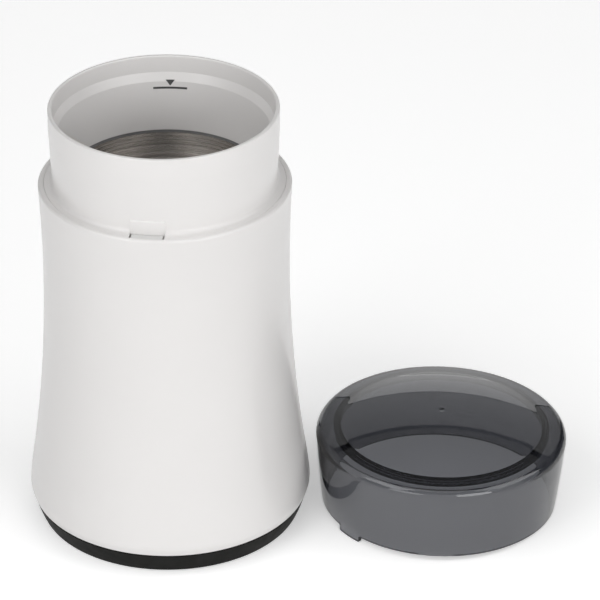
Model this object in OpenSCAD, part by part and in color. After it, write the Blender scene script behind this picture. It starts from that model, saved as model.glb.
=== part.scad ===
// Electric spice grinder: waisted shell, neck collar over a steel bowl, blade on a
// commutator motor, lid interlock, black base and a loose lid lying beside it.
// Millimetres, +Z up, origin on the grinder's axis at table level, front at -Y.

/* [Body] */
// How far the waist stands out from the neck's foot
waist_step = 4.15; // [3.5:0.05:6.5]
// How far the waist lies below the shoulder
waist_drop = 31.7; // [26:0.1:38]
// Radius of the arc that bows the side outward
bow_r = 525; // [450:5:700]
// Height of the shoulder above the table
shoulder_z = 131.7; // [130:0.1:136]
// Wall of the outer shell
shell_wall = 2.4; // [1.8:0.1:2.6]
// Rounding of the shell's lower edge
shell_low_round = 2.6; // [1:0.1:3.5]
// Rounding of the shell's shoulder edge
shoulder_round = 1; // [0.6:0.1:2]

/* [Neck] */
// Height of the neck above the shoulder
neck_h = 28.7; // [26:0.1:32]
// Outer radius of the neck at its rim
neck_rim_r = 40; // [39.6:0.05:40.2]
// Length of the straight stretch below the rim that a lid slides over
neck_straight = 8; // [4:0.5:12]
// How much narrower the neck is at its foot than at its rim
neck_draft = 0.85; // [0.6:0.05:1]
// Radius of the fillet at the neck's foot
neck_fillet = 1.5; // [0.8:0.1:2]
// Wall of the neck at its rim
neck_rim_wall = 1.5; // [1.2:0.1:2]
// Depth of the wider mouth inside the rim
mouth_depth = 6.2; // [4:0.1:9]
// How far the bowl's mouth lies inside the neck's foot
throat_inset = 4.55; // [4.2:0.05:4.9]
// Thickness of the collar's shoulder flange
flange_t = 2; // [1.6:0.1:2.6]

/* [Bowl and blade] */
// Depth of the steel bowl from its flange to its floor
bowl_depth = 38.3; // [34:0.1:42]
// Sheet thickness of the bowl
bowl_t = 0.7; // [0.5:0.1:1]
// Radius of the bowl's lower corner
bowl_corner = 10; // [6:0.5:12]
// Tip radius of the blade
blade_r = 27; // [20:0.5:29]
// Thickness of the blade
blade_t = 1.3; // [1:0.1:2]
// Twist of each blade wing
blade_twist = 14; // [6:1:20]
// Radius of the motor shaft
shaft_r = 3; // [2.5:0.1:3.5]

/* [Motor] */
// Height of the lamination stack
stack_h = 24; // [20:0.5:26]
// Half width of the laminations
stator_half_x = 25; // [23:0.5:26]
// Room between the laminations and the legs beside them
stack_room = 1.4; // [1:0.1:2.4]
// Depth of a field coil in its window
coil_d = 4; // [3.5:0.1:5]
// Gap between armature and stator
air_gap = 0.45; // [0.3:0.05:0.8]
// Number of armature slots and commutator bars
slot_count = 12; // [8:1:16]
// Radius of the commutator
commutator_r = 7; // [6:0.1:8]
// Tip radius of the cooling fan
fan_r = 22; // [18:0.5:25]
// Number of fan blades
fan_blades = 9; // [5:1:14]

/* [Interlock] */
// Width of the slot that takes the lid's tab
slot_w = 12.1; // [11:0.1:13]
// Travel of the plunger under the slot
plunger_travel = 2; // [1.2:0.1:2.4]
// Depth of the plunger's top below the shoulder
plunger_sunk = 0.3; // [0.3:0.1:1.5]

/* [Base] */
// Height of the black base ring
base_h = 7.6; // [6.5:0.1:9]
// How far the base ring's foot stands in from the shell above it
base_inset = 4.9; // [4.5:0.1:5.4]
// How far the base ring widens up to the shell
base_flare = 1.6; // [1:0.1:2]
// Thickness of the base cover's floor
cover_t = 2.4; // [2:0.1:3]
// Number of air slots in the base cover
vent_count = 24; // [12:1:30]
// Radius of the mains cord that the gland takes
cord_r = 3.1; // [2.5:0.1:3.6]

/* [Lid] */
// Play between the lid's rim and the neck
lid_play = 0.8; // [0.5:0.1:1.2]
// How much wider the lid is at its upper edge than at its rim
lid_flare = 2.45; // [2:0.05:3]
// Height of the lid's side up to its rounded edge
lid_side_h = 25.3; // [22:0.1:26]
// Wall of the lid
lid_wall = 1.9; // [1.6:0.1:2.1]
// Thickness of the lid's roof
lid_roof = 1.6; // [1.2:0.1:2]
// Height that the clear dome rises above the roof ring
dome_rise = 5.3; // [3:0.1:7]
// Drop of the tab below the lid's rim
tab_drop = 2; // [1.5:0.1:2.6]
// Width of the tab
tab_w = 10.4; // [8:0.1:10.6]
// Gap between the shell's foot and the lid beside it, seen from above
lid_beside = 0.6; // [0.4:0.1:40]
// Direction in which the lid lies from the body
lid_direction = 8.28; // [-60:0.01:60]
// Direction in which the lid's tab points
tab_angle = 226; // [0:1:360]

/* [Hidden] */

$fn = 96;
fit = 0.15;         // gap between nested pieces of one body
free = 0.3;         // gap between pieces that move past each other
running = 0.04;     // radial play of the shaft in its bearings
eps = 0.01;

// Colours
white = [0.93, 0.93, 0.92];
steel = [0.66, 0.66, 0.67];
dark_steel = [0.4, 0.4, 0.42];
black = [0.09, 0.09, 0.1];
copper = [0.72, 0.4, 0.2];
bronze = [0.62, 0.5, 0.3];
smoke = [0.35, 0.36, 0.39, 0.6];

// Points along an arc from angle a0 to a1 about a centre
function arc(cx, cz, r, a0, a1, n = 8) =
    [for (i = [0 : n]) let (a = a0 + (a1 - a0) * i / n) [cx + r * cos(a), cz + r * sin(a)]];
// Points along an ellipse with half-axes rx and rz
function oval(cx, cz, rx, rz, a0, a1, n = 10) =
    [for (i = [0 : n]) let (a = a0 + (a1 - a0) * i / n) [cx + rx * cos(a), cz + rz * sin(a)]];

module spin(points) { rotate_extrude() polygon(points); }
module tube(r_out, r_in, z0, z1) {
    translate([0, 0, z0]) difference() {
        cylinder(r = r_out, h = z1 - z0);
        translate([0, 0, -1]) cylinder(r = r_in, h = z1 - z0 + 2);
    }
}
module rod(r, z0, z1) { translate([0, 0, z0]) cylinder(r = r, h = z1 - z0); }
module block2(low, high) { translate(low) square(high - low); }
// A flat rectangle of half sizes x and y with round corners
module rounded(x, y, r) {
    block2([-x, r - y], [x, y - r]);
    block2([r - x, -y], [x - r, y]);
    for (s = [-1, 1], t = [-1, 1]) translate([s * (x - r), t * (y - r)]) circle(r = r);
}
// A stretch of a tube at the front, of half width x
module front_arc(r_out, r_in, x, z0, z1) {
    intersection() {
        tube(r_out, r_in, z0, z1);
        block([-x, -r_out - 1, z0], [x, -r_in / 2, z1]);
    }
}
// A box given by its two opposite corners
module block(low, high) { translate(low) cube(high - low); }

// ---- Radii of the neck and of the waist below it ----
neck_root_r = neck_rim_r - neck_draft; // where the neck meets the shoulder
throat_r = neck_root_r - throat_inset; // inner radius where the steel bowl begins
waist_r = neck_root_r + waist_step;
waist_z = shoulder_z - waist_drop;

// ---- Outline of the shell: one long arc, wide at the foot, narrow at the waist ----
bow_x = waist_r + bow_r;
function bow_at(z, inset = 0) = bow_x - sqrt(pow(bow_r + inset, 2) - pow(z - waist_z, 2));
// Points down or up the bowed side from z0 to z1, inset by a wall
function bow_points(z0, z1, inset, n) =
    [for (i = [0 : n]) let (z = z0 + (z1 - z0) * i / n) [bow_at(z, inset), z]];
// Centre across of an edge rounding of radius r whose centre is at height zc
function round_x(zc, r) = bow_x - sqrt(pow(bow_r + r, 2) - pow(zc - waist_z, 2));
// Slope of the side where such a rounding meets it
function round_a(zc, r) = -asin((zc - waist_z) / (bow_r + r));

// ---- Heights ----
neck_top_z = shoulder_z + neck_h;
flange_low_z = shoulder_z - flange_t;
seat_z = shoulder_z + 1.5;             // underside of the neck wall, on the gasket
gasket_t = 1;
bowl_top_z = seat_z - gasket_t;        // top face of the bowl's flange
bowl_floor_z = bowl_top_z - bowl_depth;
carrier_top_z = bowl_top_z - bowl_t;
chassis_floor_t = 2.5;
chassis_gap = 3.6;                     // air between bowl and chassis floor
chassis_floor_z = bowl_floor_z - bowl_t - chassis_gap - chassis_floor_t;

// ---- Bowl ----
bowl_r = throat_r - 0.3;
bowl_low_r = bowl_r - 1.4;             // the wall narrows downward for release
bowl_flange_r = throat_r + 2.5;
bowl_hole_r = 6;

// ---- Chassis ----
chassis_in_r = bowl_r + bowl_t + 0.1;
chassis_wall = 1.9;
chassis_r = chassis_in_r + chassis_wall;
hook_rib_drop = 8.6;
hook_rib_z = carrier_top_z - hook_rib_drop; // top of the rib that the collar's hooks take
hook_rib_t = 2;
hook_rib_r = chassis_r + 1.2;
hook_angles = [45, 135, 225, 315];
leg_angles = [60, 180, 300];
leg_r = 4;
leg_gap = 0.6;                         // between a leg and the shell at its waist
leg_at_r = waist_r - shell_wall - leg_r - leg_gap;
leg_pilot_r = 1.3;
leg_web_h = 12;
leg_web_w = 7;
tower_r = 7.4;

// ---- Collar ----
collar_skirt_r = bowl_flange_r + 0.3;
shell_mouth_r = neck_root_r + 3;       // inner edge of the shell at the shoulder
seam = 0.08;                           // between shell and collar where they meet in view
seam_edge = 0.06;                      // bevel of both edges along that seam
flange_r = shell_mouth_r - seam;
shelf_r = flange_r - 1.5;              // inner radius of the shelf under the flange
shelf_t = 2;
pad_h = 5;                             // rise of the pad above the shoulder
pad_r = neck_root_r + 0.5;             // face of that pad, the slot's inner wall
slot_out_r = shell_mouth_r + 0.85;     // outer wall of the slot
hook_w = 8;

// ---- Motor ----
stator_half_y = leg_at_r * sin(leg_angles[0]) - leg_r - stack_room;
mount_boss_h = 5;
mount_t = 1.5;
bracket_t = 1.6;
upper_plate_z = chassis_floor_z - mount_boss_h - mount_t - bracket_t;
upper_pillar_h = 12.4;
stack_top_z = upper_plate_z - upper_pillar_h;
stack_low_z = stack_top_z - stack_h;
lower_pillar_h = 18;
yoke_t = 2;
lower_plate_z = stack_low_z - lower_pillar_h - bracket_t;
pillar_x = stator_half_x - 3.2;
pillar_r = 3;
screw_r = 1.7;
screw_head_r = 3.1;
screw_head_h = 2.2;
nut_t = 2.4;
thread_end = 3;                        // thread that shows past the nut's seat
mount_screw_r = 1.15;
mount_head_r = 2.9;
mount_head_h = 1.8;
base_head_r = 3.2;
base_head_h = 2.4;
base_grip = 11;                        // length of a base screw in its leg
coil_gap = 0.3;
coil_round = 3.5;
gland_flange_t = 2;
gland_out = 7;                         // how far the gland stands out of the shell
gland_grip = 5.4;                      // length of its sleeve that grips the cord
gland_room = 0.9;                      // play round the cord inside the gland
bearing_r = 5.5;
bearing_h = 5;
strip_half = 6;                        // half width of a bracket's strip
strip_hub_r = 11;
mount_pad = 4.4;                       // half width of the bracket round its mounts
cup_t = 0.9;
bush_r = 3.8;
bush_neck_r = 2.5;
bush_bore_r = 1.75;
stack_round = 5;
mount_x = 15;                          // rubber mounts, across
mount_y = 10;
pole_neck_x = 9;
window_x = stator_half_x - 6;
window_y = stator_half_y - 5;
shoe_r = window_y - coil_d - 2 * coil_gap;
shoe_t = 2.8;
stator_bore_r = shoe_r - shoe_t;
armature_r = stator_bore_r - air_gap;
coil_x = window_x - 2.2;
coil_turn_h = 5;
slot_at_r = armature_r - 3.2;
tooth_w = 1;                           // least width of the armature between two slots
slot_r = min(1.8, slot_at_r * sin(180 / slot_count) - tooth_w / 2);
commutator_z = lower_plate_z + bracket_t + yoke_t + 1.5;
commutator_h = 10;
brush_z = commutator_z + commutator_h / 2 - 1;
brush_w = 6;
brush_h = 5;
brush_l = 10;
shaft_tail = 12.5;                     // shaft below the lower bracket
shaft_low_z = lower_plate_z - shaft_tail;
fan_z = shaft_low_z + 1;
fan_h = 6;
blade_z = bowl_floor_z + 5;
nut_h = 5.5;
nut_washer_r = 6.5;
shaft_top_z = blade_z + blade_t + nut_h - 1.5;

// ---- Base ----
cover_low_z = 2;
base_low_r = bow_at(base_h) - base_inset;
base_top_r = base_low_r + base_flare;
cover_r = base_low_r - 2;
cover_wall = 2;
cover_rim_z = base_h + 6;
cover_lip_t = 1.5;
cover_lip_r = cover_r + 1.9;
ring_foot_in_r = cover_r - 2;
cap_w = 17.5;
cap_d = 8.5;
cap_h = 14;
cap_gap = 0.4;                         // between the capacitor and the stiffening ring
cap_room = 1.7;                        // between the capacitor and the cover's wall
ring_rib_r = cover_r - cover_wall - cap_room - cap_d - cap_gap;
ring_rib_t = 1.6;
ring_rib_h = 2.2;
hub_rib_r = 9;
cap_rib_h = 7;
well_r = 5.2;
well_in_r = 3.8;
well_top_z = base_h + 5;
well_roof = 2.5;
shell_foot_in_r = cover_r + fit;
shell_foot_t = 2.4;
gland_rise = 15;
gland_z = base_h + gland_rise;
gland_r = cord_r + 2.2;
gland_flange_r = gland_r + 2.4;
gland_seat_y = bow_at(gland_z, shell_wall) - 2.2;

// ---- Interlock ----
plunger_top_z = shoulder_z - plunger_sunk;
head_out_r = slot_out_r - free - 0.3;
head_in_r = pad_r + free;
head_h = 7.2;                          // of the plunger's head below the shoulder
head_low_z = shoulder_z - head_h;
stem_y = -(chassis_r + 2);
stem_r = 1.25;
switch_y = stem_y + 2.4;               // middle of the switch housing
step_low_z = head_low_z - 3.5;
plunger_spring_h = 14;
guide_z = step_low_z - plunger_spring_h; // top of the guide that the spring stands on
guide_t = 2;
guide_half_w = 4;
guide_lip = 1.3;                       // of the guide, in front of the stem's middle
pocket_low_z = head_low_z - plunger_travel - 0.5;
switch_drop = 9;
switch_top_z = chassis_floor_z - switch_drop; // top of the switch housing
switch_w = 19.8;
switch_h = 10.2;
switch_d = 6.2;
switch_hole_x = 4.75;
switch_hole_z = 2.6;
switch_screw_r = 0.98;
switch_wall_t = 2.2;
switch_back_y = switch_y + switch_d / 2 + fit;
lever_t = 0.5;
lever_pivot_x = -7;
tip_x = 7;                             // where the plunger's tip meets the lever
button_x = -1;
lever_z = switch_top_z + 3;            // underside of the lever at rest
lever_pin_z = lever_z + lever_t / 2 - 0.25;
lever_pin_r = 0.5;
lug_r = 1.5;
lug_t = 1.2;
lug_y = switch_d / 2 - 0.7;            // of a lug's middle from the middle of the switch
tip_r = 1.4;
tip_z = lever_z + lever_t + 0.1;
foot_z = tip_z + 3;
foot_t = 2;

// ---- Lid ----
lid_rim_r = neck_rim_r + lid_play + lid_wall;
lid_max_r = lid_rim_r + lid_flare;
lid_reach = bow_at(base_h) + lid_max_r + lid_beside; // from the body's axis to the lid's
lid_x = lid_reach * cos(lid_direction);
lid_y = lid_reach * sin(lid_direction);
lid_gap = 0.3;                         // rim above the shoulder when the lid is on
lid_in_h = neck_h - lid_gap;
lid_ring_z = lid_in_h + lid_roof;
lid_ring_r = neck_rim_r - 0.1;         // where the rounded edge ends in the flat ring
rib_r = neck_rim_r - neck_rim_wall - free;
rib_t = 2.1;
rib_h = 4.4;
dome_r = rib_r - rib_t;
dome_ball = (dome_r * dome_r + dome_rise * dome_rise) / (2 * dome_rise);
lid_bow = 0.16;
tab_t = 1.6;
tab_r = lid_rim_r - 0.1;
lid_edge = 0.3;
lid_lean = atan(tab_drop / (tab_r - tab_t + lid_rim_r - lid_edge));

// =========================== Shell ===========================

module shell_outline() {
    low_zc = base_h + shell_low_round;
    top_zc = shoulder_z - shoulder_round;
    low_x = round_x(low_zc, shell_low_round);
    top_x = round_x(top_zc, shoulder_round);
    low_a = round_a(low_zc, shell_low_round);
    top_a = round_a(top_zc, shoulder_round);
    foot_z = base_h + shell_foot_t;
    polygon(concat(
        [[shell_foot_in_r, base_h]],
        arc(low_x, low_zc, shell_low_round, -90, low_a),
        bow_points(low_zc + shell_low_round * sin(low_a) + 1, top_zc - 1, 0, 26),
        arc(top_x, top_zc, shoulder_round, top_a, 90),
        [[shell_mouth_r + seam_edge, shoulder_z], [shell_mouth_r, shoulder_z - seam_edge],
         [shell_mouth_r, flange_low_z], [shelf_r, flange_low_z],
         [shelf_r, flange_low_z - shelf_t]],
        bow_points(flange_low_z - shelf_t - 2, foot_z + 2, shell_wall, 24),
        [[shell_foot_in_r, foot_z]]));
}

module outer_shell() {
    color(white) difference() {
        union() {
            rotate_extrude($fn = 180) shell_outline();
            // flat seat inside for the cord gland
            intersection() {
                translate([0, gland_seat_y, gland_z]) rotate([-90, 0, 0])
                    cylinder(r = gland_flange_r + 1, h = bow_at(gland_z) - gland_seat_y);
                rod(bow_at(gland_z, shell_wall / 2), gland_z - gland_flange_r - 2,
                    gland_z + gland_flange_r + 2);
            }
        }
        translate([0, gland_seat_y - 1, gland_z]) rotate([-90, 0, 0])
            cylinder(r = gland_r + fit, h = bow_at(gland_z) - gland_seat_y + 2);
        // slot for the lid's tab and room for the plunger's head
        front_arc(slot_out_r, shelf_r - 2, slot_w / 2, pocket_low_z, shoulder_z + 1);
    }
}

// =========================== Collar ===========================

module neck_outline() {
    rim_round = 0.55;
    step_r = throat_r + 2.1;
    mouth_r = neck_rim_r - neck_rim_wall;
    mouth_low_z = neck_top_z - mouth_depth;
    polygon(concat(
        [[throat_r, seat_z], [step_r, mouth_low_z - 3], [mouth_r - 0.25, mouth_low_z]],
        arc(mouth_r + rim_round, neck_top_z - rim_round, rim_round, 180, 90, 5),
        arc(neck_rim_r - rim_round, neck_top_z - rim_round, rim_round, 90, 0, 5),
        [[neck_rim_r, neck_top_z - neck_straight]],
        arc(neck_root_r + neck_fillet, shoulder_z + neck_fillet, neck_fillet, 180, 270, 10),
        [[flange_r - seam_edge, shoulder_z], [flange_r, shoulder_z - seam_edge], [flange_r, flange_low_z],
         [collar_skirt_r, flange_low_z], [collar_skirt_r, seat_z]]));
}

// Low pad behind the slot, with a bevel along its top
module neck_pad() {
    top_z = shoulder_z + pad_h;
    bevel = 0.5;
    intersection() {
        rotate_extrude() polygon([[neck_root_r - 1, flange_low_z], [pad_r, flange_low_z],
            [pad_r, top_z - bevel], [pad_r - bevel, top_z], [neck_root_r - 1, top_z]]);
        block([-slot_w / 2, -pad_r - 1, flange_low_z], [slot_w / 2, -pad_r / 2, top_z]);
    }
}

module collar_hook() {
    root_r = hook_rib_r + 0.25;
    low_z = hook_rib_z - hook_rib_t - 2.2;
    bite = 0.8;
    intersection() {
        block([root_r - bite, -hook_w / 2, low_z], [root_r + 2, hook_w / 2, flange_low_z + 1]);
        rotate_extrude() polygon([
            [root_r, flange_low_z + 1], [root_r, hook_rib_z - hook_rib_t - 0.2],
            [root_r - bite, hook_rib_z - hook_rib_t - 0.2], [root_r, low_z],
            [root_r + 1.4, low_z], [root_r + 1.4, flange_low_z + 1]]);
    }
}

module neck_collar() {
    color(white) difference() {
        union() {
            rotate_extrude($fn = 180) neck_outline();
            neck_pad();
            for (a = hook_angles) rotate(a) collar_hook();
        }
        front_arc(flange_r + 1, pad_r, slot_w / 2, flange_low_z - 1, shoulder_z + pad_h);
    }
}

// =========================== Bowl ===========================

function bowl_points(grow) = let (c = bowl_corner + grow, low_r = bowl_low_r + grow)
    concat([[bowl_r + grow, bowl_top_z]],
        arc(low_r - c, bowl_floor_z - grow + c, c, 0, -90, 12));

module grinding_bowl() {
    outer = bowl_points(bowl_t);
    inner = bowl_points(0);
    n = len(inner);
    color(steel) rotate_extrude($fn = 180) polygon(concat(
        inner, [[bowl_hole_r, bowl_floor_z], [bowl_hole_r, bowl_floor_z - bowl_t]],
        [for (i = [n - 1 : -1 : 1]) outer[i]],
        [[bowl_r + bowl_t, carrier_top_z], [bowl_flange_r, carrier_top_z],
         [bowl_flange_r, bowl_top_z]]));
}

module bowl_gasket() {
    color(black) tube(bowl_flange_r, throat_r + 0.1, bowl_top_z, seat_z);
}

module shaft_seal() {
    lip = 1.2;
    color(black) spin([
        [shaft_r + 0.08, bowl_floor_z - bowl_t - lip], [shaft_r + 0.08, bowl_floor_z + 2.2],
        [shaft_r + 1.2, bowl_floor_z + 2.4], [bowl_hole_r + 1.4, bowl_floor_z + lip],
        [bowl_hole_r + 1.4, bowl_floor_z], [bowl_hole_r, bowl_floor_z],
        [bowl_hole_r, bowl_floor_z - bowl_t], [bowl_hole_r + 1, bowl_floor_z - bowl_t],
        [bowl_hole_r + 1, bowl_floor_z - bowl_t - lip]]);
}

// =========================== Chassis ===========================

// The two holes of the switch's screws, from the wall behind it to its front
module switch_holes(r) {
    low_z = switch_top_z - switch_h;
    back_y = switch_back_y + switch_wall_t + 1;
    for (s = [-1, 1]) translate([s * switch_hole_x, back_y, low_z + switch_hole_z])
        rotate([90, 0, 0]) cylinder(r = r, h = switch_d + switch_wall_t + fit + 2);
}

module chassis() {
    tower_top_z = bowl_floor_z - bowl_t - 1.2;
    color(white) difference() {
        union() {
            // cup round the bowl, with the ring that carries its flange
            spin([[chassis_in_r, chassis_floor_z], [chassis_r, chassis_floor_z],
                [chassis_r, carrier_top_z - 4], [bowl_flange_r, carrier_top_z - 2.5],
                [bowl_flange_r, carrier_top_z], [chassis_in_r, carrier_top_z]]);
            rod(chassis_in_r + 0.5, chassis_floor_z, chassis_floor_z + chassis_floor_t);
            tube(hook_rib_r, chassis_in_r + 0.5, hook_rib_z - hook_rib_t, hook_rib_z);
            rod(tower_r, chassis_floor_z, tower_top_z);
            for (a = [0 : 60 : 300]) rotate(a)
                block([tower_r - 1, -0.9, chassis_floor_z], [chassis_in_r + 0.5, 0.9,
                    chassis_floor_z + chassis_floor_t + 1.6]);
            // legs down to the base
            for (a = leg_angles) rotate(a) {
                translate([leg_at_r, 0, 0]) rod(leg_r, well_top_z, chassis_floor_z + 1);
                block([leg_at_r - leg_web_w, -1, chassis_floor_z - leg_web_h],
                    [leg_at_r, 1, chassis_floor_z + 1]);
            }
            // bosses that the motor hangs from
            for (x = [-mount_x, mount_x], y = [-mount_y, mount_y]) translate([x, y, 0])
                rod(3.4, chassis_floor_z - mount_boss_h, chassis_floor_z + 1);
            // guide for the plunger's stem
            block([-guide_half_w, stem_y - guide_lip, guide_z - guide_t],
                [guide_half_w, -chassis_in_r - 0.5, guide_z]);
            // wall that holds the switch
            block([-switch_w / 2 - 1, switch_back_y, switch_top_z - switch_h - 1],
                [switch_w / 2 + 1, switch_back_y + switch_wall_t, chassis_floor_z + 1]);
        }
        rod(bearing_r + 0.2, chassis_floor_z - 1, bowl_floor_z);
        for (a = leg_angles) rotate(a) translate([leg_at_r, 0, 0])
            rod(leg_pilot_r, well_top_z - 1, well_top_z + base_grip + 3);
        for (x = [-mount_x, mount_x], y = [-mount_y, mount_y]) translate([x, y, 0])
            rod(1.2, chassis_floor_z - mount_boss_h - 1, chassis_floor_z + 1);
        translate([0, stem_y, 0]) rod(stem_r + free, guide_z - guide_t - 1, guide_z + 1);
        block([-stem_r - free, stem_y - guide_lip - 1, guide_z - guide_t - 1],
            [stem_r + free, stem_y, guide_z + 1]);
        // gap in the rib where the plunger passes
        block([-slot_w / 2 - 0.5, -hook_rib_r - 1, hook_rib_z - hook_rib_t - 1],
            [slot_w / 2 + 0.5, -chassis_r + eps, hook_rib_z + 1]);
        switch_holes(switch_screw_r + 0.02);
    }
}

// =========================== Motor, fixed pieces ===========================

module bearing(z) {
    color(bronze) translate([0, 0, z]) rotate_extrude() polygon(concat(
        [[shaft_r + running, 0]], arc(bearing_r - 1, 1, 1, -90, 0, 4),
        arc(bearing_r - 1, bearing_h - 1, 1, 0, 90, 4), [[shaft_r + running, bearing_h]]));
}
upper_bearing_z = upper_plate_z - 1;
lower_bearing_z = lower_plate_z - 2;
module upper_bearing() { bearing(upper_bearing_z); }
module lower_bearing() { bearing(lower_bearing_z); }

// Stamped strip with a cup for the bearing and two pillars to the stack
module bracket(plate_z, cup_z, pillar_z0, pillar_z1, mounts) {
    cup_r = bearing_r + fit + 1.3;
    color(dark_steel) difference() {
        union() {
            translate([0, 0, plate_z]) linear_extrude(bracket_t)
                rounded(pillar_x + strip_half, strip_half, strip_half - 0.1);
            translate([0, 0, plate_z]) cylinder(r = strip_hub_r, h = bracket_t);
            if (mounts) for (x = [-mount_x, mount_x]) translate([x, 0, plate_z]) linear_extrude(bracket_t)
                rounded(mount_pad, mount_y + mount_pad, mount_pad - 0.1);
            rod(cup_r, cup_z - cup_t, cup_z + bearing_h + 0.4);
            for (x = [-pillar_x, pillar_x]) translate([x, 0, 0]) rod(pillar_r, pillar_z0, pillar_z1);
        }
        rod(bearing_r + fit, cup_z, cup_z + bearing_h + 2);
        rod(shaft_r + 1, cup_z - cup_t - 1, cup_z + 1);
        for (x = [-pillar_x, pillar_x]) translate([x, 0, 0])
            rod(screw_r + fit, pillar_z0 - 1, max(pillar_z1, plate_z + bracket_t) + 1);
        if (mounts) for (x = [-mount_x, mount_x], y = [-mount_y, mount_y])
            translate([x, y, 0]) rod(bush_neck_r + 0.1, plate_z - 1, plate_z + bracket_t + 1);
    }
}
module upper_bracket() {
    bracket(upper_plate_z, upper_bearing_z, stack_top_z, upper_plate_z + 0.5, true);
}
module lower_bracket() {
    bracket(lower_plate_z, lower_bearing_z, lower_plate_z, stack_low_z, false);
}

module stator_outline() {
    difference() {
        union() {
            difference() {
                rounded(stator_half_x, stator_half_y, stack_round);
                square([2 * window_x, 2 * window_y], center = true);
            }
            square([2 * pole_neck_x, 2 * window_y + 2], center = true);
            intersection() {
                circle(r = shoe_r);
                for (s = [-1, 1]) polygon([[0, 0], [-shoe_r * 1.6, s * shoe_r], [shoe_r * 1.6, s * shoe_r]]);
            }
        }
        circle(r = stator_bore_r);
        for (x = [-pillar_x, pillar_x]) translate([x, 0]) circle(r = screw_r + fit);
    }
}
module stator_core() {
    color(dark_steel) translate([0, 0, stack_low_z]) linear_extrude(stack_h) stator_outline();
}

// One flat coil round a pole neck
module field_coil() {
    in_x = pole_neck_x + coil_gap;
    y0 = shoe_r + coil_gap;
    y1 = window_y - coil_gap;
    low_z = stack_low_z - coil_gap;
    high_z = stack_top_z + coil_gap;
    translate([0, y1, 0]) rotate([90, 0, 0]) linear_extrude(y1 - y0) difference() {
        translate([0, (low_z + high_z) / 2])
            rounded(coil_x, (high_z - low_z) / 2 + coil_turn_h, coil_round);
        block2([-in_x, low_z], [in_x, high_z]);
    }
}
module field_coils() { color(copper) for (a = [0, 180]) rotate(a) field_coil(); }

// Plastic plate on the lower bracket with a box for each brush
holder_out_y = 22;
module brush_yoke() {
    plate_z = lower_plate_z + bracket_t;
    color(black) difference() {
        union() {
            rod(holder_out_y + 1, plate_z, plate_z + yoke_t);
            for (s = [0, 180]) rotate(s)
                block([-brush_w / 2 - 1.5, commutator_r + 1.4, plate_z],
                    [brush_w / 2 + 1.5, holder_out_y, brush_z + brush_h / 2 + 1.5]);
        }
        rod(commutator_r + 1.4, plate_z - 1, brush_z + brush_h);
        for (x = [-pillar_x, pillar_x]) translate([x, 0, 0])
            rod(pillar_r + fit, plate_z - 1, plate_z + yoke_t + 1);
        for (s = [0, 180]) rotate(s)
            block([-brush_w / 2 - 0.1, 0, brush_z - brush_h / 2 - 0.1],
                [brush_w / 2 + 0.1, holder_out_y - 1, brush_z + brush_h / 2 + 0.1]);
    }
}
module carbon_brushes() {
    color([0.16, 0.16, 0.17]) for (s = [0, 180]) rotate(s)
        difference() {
            block([-brush_w / 2, 0, brush_z - brush_h / 2],
                [brush_w / 2, commutator_r + brush_l, brush_z + brush_h / 2]);
            rod(commutator_r + 0.08, brush_z - brush_h, brush_z + brush_h);
        }
}
module brush_springs() {
    start = commutator_r + brush_l;
    end = holder_out_y - 1;
    color(steel) for (s = [0, 180]) rotate(s)
        translate([0, start + 0.05, brush_z]) rotate([-90, 0, 0])
            coil_spring(1.9, 0.28, end - start - 0.1, 3);
}

// A closed helix of round wire, swept ring by ring
module coil_spring(r, wire, height, turns, sides = 6, per_turn = 14) {
    rings = turns * per_turn;
    rise = height - 2 * wire;
    points = [for (i = [0 : rings], j = [0 : sides - 1])
        let (a = 360 * i / per_turn, b = 360 * j / sides, q = r + wire * cos(b))
        [q * cos(a), q * sin(a), wire + rise * i / rings + wire * sin(b)]];
    side = [for (i = [0 : rings - 1], j = [0 : sides - 1])
        let (k = (j + 1) % sides, p = i * sides, q = p + sides)
        [p + j, q + j, q + k, p + k]];
    ends = [[for (j = [0 : sides - 1]) j],
        [for (j = [sides - 1 : -1 : 0]) rings * sides + j]];
    polyhedron(points, concat(side, ends));
}

module motor_mounts() {
    z0 = upper_plate_z + bracket_t;
    color(black) for (x = [-mount_x, mount_x], y = [-mount_y, mount_y]) translate([x, y, 0]) {
        tube(bush_r, bush_bore_r, z0, z0 + mount_t);
        tube(bush_neck_r, bush_bore_r, upper_plate_z, z0 + eps);
        tube(bush_r, bush_bore_r, upper_plate_z - mount_t, upper_plate_z);
    }
}
module screw(r, z_head, z_tip, head_r, head_h) {
    down = z_tip < z_head;
    rod(r, min(z_head, z_tip), max(z_head, z_tip));
    difference() {
        translate([0, 0, down ? z_head : z_head - head_h]) cylinder(r = head_r, h = head_h);
        translate([0, 0, down ? z_head + head_h * 0.5 : z_head - head_h - eps])
            for (a = [0, 90]) rotate(a)
                block([-head_r * 0.6, -0.35, 0], [head_r * 0.6, 0.35, head_h * 0.5 + eps]);
    }
}
module mount_screws() {
    color(steel) for (x = [-mount_x, mount_x], y = [-mount_y, mount_y]) translate([x, y, 0])
        screw(mount_screw_r, upper_plate_z - mount_t, chassis_floor_z - 0.3, mount_head_r, mount_head_h);
}
module motor_screws() {
    color(steel) for (x = [-pillar_x, pillar_x]) translate([x, 0, 0]) {
        screw(screw_r, lower_plate_z, upper_plate_z + bracket_t + thread_end, screw_head_r, screw_head_h);
        // nut on the upper bracket
        translate([0, 0, upper_plate_z + bracket_t]) difference() {
            cylinder(r = screw_head_r, h = nut_t, $fn = 6);
            translate([0, 0, -1]) cylinder(r = screw_r - eps, h = nut_t + 2);
        }
    }
}

// =========================== Rotor ===========================

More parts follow.
